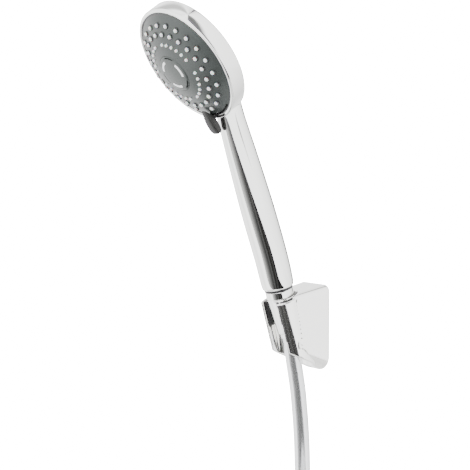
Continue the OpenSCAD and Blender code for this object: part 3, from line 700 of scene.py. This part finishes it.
bpy.ops.mesh.normals_make_consistent(inside=False)
bpy.ops.object.mode_set(mode="OBJECT")
alone(lever)
smooth_tongue = lever.modifiers.new("smooth_tongue", "SUBSURF")
smooth_tongue.levels = smooth_tongue.render_levels = 2
bpy.ops.object.modifier_apply(modifier="smooth_tongue")
bpy.ops.object.select_all(action="DESELECT")
nozzle_room = 2.15
bpy.ops.mesh.primitive_uv_sphere_add(segments=160, ring_count=80, radius=(dome_ball + nozzle_room) * MM,
                                     location=(0, 0, (dome_height - dome_ball) * MM))
joined(lever, bpy.context.object, "DIFFERENCE")
joined(lever, block((-4, -49.1, -1.8), (4, -47.8, 3.6)), "UNION")
dressed(lever, head_place, lever_satin, angle=40)
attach(lever, "selector")
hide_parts("mode_lever")

# ---- Inner parts ----
# Inside the head and handle are moulded plastic parts, rubber seals and small steel
# parts, which the shell and the face plate hide.

inner_plastic = finish_of("inner_acetal", (0.72, 0.72, 0.70), 0.45, patch=120.0, grain=1500.0, depth=0.00003)
for node in ("jet_chamber", "valve_seat", "neck_elbow", "waterway_tube"):
    refinish(node, inner_plastic)
refinish("tail_connector", black_acetal)
disc_plastic = finish_of("selector_acetal", (0.86, 0.84, 0.76), 0.40, patch=140.0, grain=1500.0,
                         depth=0.00003)
for node in ("selector_disc", "massage_turbine"):
    refinish(node, disc_plastic)
seal_rubber = finish_of("seal_rubber", (0.02, 0.02, 0.02), 0.62, patch=250.0, grain=2600.0, depth=0.00004)
for node in ("chamber_seal", "elbow_seal", "tail_washer", "supply_washer"):
    refinish(node, seal_rubber)
screw_steel = finish_of("stainless_steel", (0.62, 0.61, 0.59), 0.26, metallic=1.0, patch=220.0, grain=2200.0,
                        depth=0.00001)
for node in ("chamber_screws", "click_spring", "centre_axle", "inlet_filter"):
    refinish(node, screw_steel)
refinish("flow_regulator", finish_of("regulator_blue", (0.05, 0.16, 0.50), 0.4, patch=180.0, grain=1800.0,
                                     depth=0.00002))

# ---- Floor and light ----
# A round pale floor lies just under the supply nut. The studio around is white. A dark
# screen stands low in front, out of the lens's sight, and chrome shows it as a dark band.

bpy.ops.object.select_all(action="DESELECT")
bpy.ops.mesh.primitive_circle_add(vertices=96, radius=0.27, location=(0.05, -0.05, -0.2845), fill_type="NGON")
floor = bpy.context.object
floor.name = "studio_floor"
floor.data.materials.append(finish_of("pale_floor", (0.85, 0.85, 0.84), 0.6, drift=0.01, patch=6.0,
                                      grain=300.0, depth=0.00005))

# The screen's upper edge, as distances aside and heights, falls from left to right.
screen_distance, screen_foot = 0.5, -0.65
screen_edge = [(-1.6, 0.02), (-0.35, -0.03), (0.0, -0.08), (0.34, -0.205), (0.6, -0.33), (0.72, -0.6)]
forward = Vector((math.sin(bearing), -math.cos(bearing), 0))
across = Vector((math.cos(bearing), math.sin(bearing), 0))
bpy.ops.object.select_all(action="DESELECT")
bpy.ops.mesh.primitive_grid_add(x_subdivisions=5, y_subdivisions=1, size=1)
screen = bpy.context.object
screen.name = "studio_screen"
for point in screen.data.vertices:
    column = round((point.co.x + 0.5) * 5)
    aside, top = screen_edge[column]
    point.co = Vector((0, -0.04, 0)) + screen_distance * forward + aside * across
    point.co.z = top if point.index > 5 else screen_foot
screen_felt = bpy.data.materials.new("screen_felt")
screen_felt.use_nodes = True
felt_nodes, felt_links = screen_felt.node_tree.nodes, screen_felt.node_tree.links
felt_place = felt_nodes.new("ShaderNodeTexCoord")
felt_turn = felt_nodes.new("ShaderNodeMapping")
felt_turn.inputs["Rotation"].default_value = (0, 0, -bearing)
felt_split = felt_nodes.new("ShaderNodeSeparateXYZ")
felt_share = felt_nodes.new("ShaderNodeMapRange")
felt_share.inputs["From Min"].default_value = -0.9
felt_share.inputs["From Max"].default_value = 0.6
felt_tones = felt_nodes.new("ShaderNodeValToRGB")
tones = [(0.0, 0.5), (0.3, 0.14), (0.44, 0.03), (0.5, 0.07), (0.55, 0.01), (0.62, 0.04), (0.68, 0.006),
         (0.76, 0.025), (0.82, 0.004)]
while len(felt_tones.color_ramp.elements) < len(tones):
    felt_tones.color_ramp.elements.new(0.5)
for stop, (position, shade) in zip(felt_tones.color_ramp.elements, tones):
    stop.position = position
    stop.color = (shade, shade, shade, 1)
felt_links.new(felt_place.outputs["Object"], felt_turn.inputs["Vector"])
felt_links.new(felt_turn.outputs["Vector"], felt_split.inputs["Vector"])
felt_links.new(felt_split.outputs["X"], felt_share.inputs["Value"])
felt_links.new(felt_share.outputs["Result"], felt_tones.inputs["Fac"])
felt_links.new(felt_tones.outputs["Color"], felt_nodes["Principled BSDF"].inputs["Base Color"])
felt_nodes["Principled BSDF"].inputs["Roughness"].default_value = 1.0
felt_nodes["Principled BSDF"].inputs["Specular IOR Level"].default_value = 0.0
screen.data.materials.append(screen_felt)
screen.visible_camera = False

world = bpy.context.scene.world or bpy.data.worlds.new("studio")
bpy.context.scene.world = world
world.use_nodes = True
nodes, links = world.node_tree.nodes, world.node_tree.links
nodes.clear()
facing = nodes.new("ShaderNodeTexCoord")
turn = nodes.new("ShaderNodeMapping")
turn.inputs["Rotation"].default_value = (0, 0, math.pi / 2 - bearing)
links.new(facing.outputs["Generated"], turn.inputs["Vector"])
split = nodes.new("ShaderNodeSeparateXYZ")
links.new(turn.outputs["Vector"], split.inputs["Vector"])


# One step of arithmetic on the direction that the light comes from.
def reckoned(operation, first, second=None, third=None):
    step = nodes.new("ShaderNodeMath")
    step.operation = operation
    for socket, value in zip(step.inputs, (first, second, third)):
        if isinstance(value, (int, float)):
            socket.default_value = value
        elif value is not None:
            links.new(value, socket)
    return step.outputs[0]


around = reckoned("ARCTAN2", split.outputs["Y"], split.outputs["X"])
above = reckoned("ARCSINE", split.outputs["Z"])
share = reckoned("MULTIPLY_ADD", around, 0.5 / math.pi, 0.5)


# How far a direction's angle has come from one angle to another, in degrees.
def between(value, low, high):
    made = nodes.new("ShaderNodeMapRange")
    made.inputs["From Min"].default_value = math.radians(low)
    made.inputs["From Max"].default_value = math.radians(high)
    links.new(value, made.inputs["Value"])
    return made.outputs["Result"]


# Shades round the horizon, from (degrees, shade) pairs.
def shades(bands):
    made = nodes.new("ShaderNodeValToRGB")
    links.new(share, made.inputs["Fac"])
    while len(made.color_ramp.elements) < len(bands):
        made.color_ramp.elements.new(0.5)
    for stop, (degrees, shade) in zip(made.color_ramp.elements, bands):
        stop.position = (degrees + 180) / 360
        stop.color = (shade, shade, shade, 1)
    return made.outputs["Color"]


def blended(factor, first, second):
    made = nodes.new("ShaderNodeMix")
    made.data_type = "RGBA"
    links.new(factor, made.inputs[0])
    links.new(first, made.inputs[6])
    links.new(second, made.inputs[7])
    return made.outputs[2]


walls = shades([(-180, 0.75), (-165, 0.9), (-158, 0.35), (-150, 0.35), (-142, 0.95), (-105, 0.8), (-85, 1.0),
                (5, 1.0), (10, 0.08), (40, 0.10), (48, 1.0), (95, 0.85), (128, 0.6), (140, 0.08), (152, 0.08),
                (160, 0.7)])
lower_walls = shades([(-180, 0.75), (-120, 0.95), (-100, 0.8), (-85, 1.0), (50, 1.0), (95, 0.8), (140, 0.5),
                      (175, 0.65)])
ground = shades([(-180, 0.12), (180, 0.12)])
screens = blended(between(above, -58, -40), ground, blended(between(above, -6.2, -5), lower_walls, walls))
studio = nodes.new("ShaderNodeBackground")
studio.inputs["Strength"].default_value = 3.4
links.new(screens, studio.inputs["Color"])
backdrop = nodes.new("ShaderNodeBackground")
backdrop.inputs["Color"].default_value = (1, 1, 1, 1)
backdrop.inputs["Strength"].default_value = 30.0
ray = nodes.new("ShaderNodeLightPath")
pick = nodes.new("ShaderNodeMixShader")
links.new(ray.outputs["Is Camera Ray"], pick.inputs["Fac"])
links.new(studio.outputs["Background"], pick.inputs[1])
links.new(backdrop.outputs["Background"], pick.inputs[2])
output = nodes.new("ShaderNodeOutputWorld")
links.new(pick.outputs["Shader"], output.inputs["Surface"])
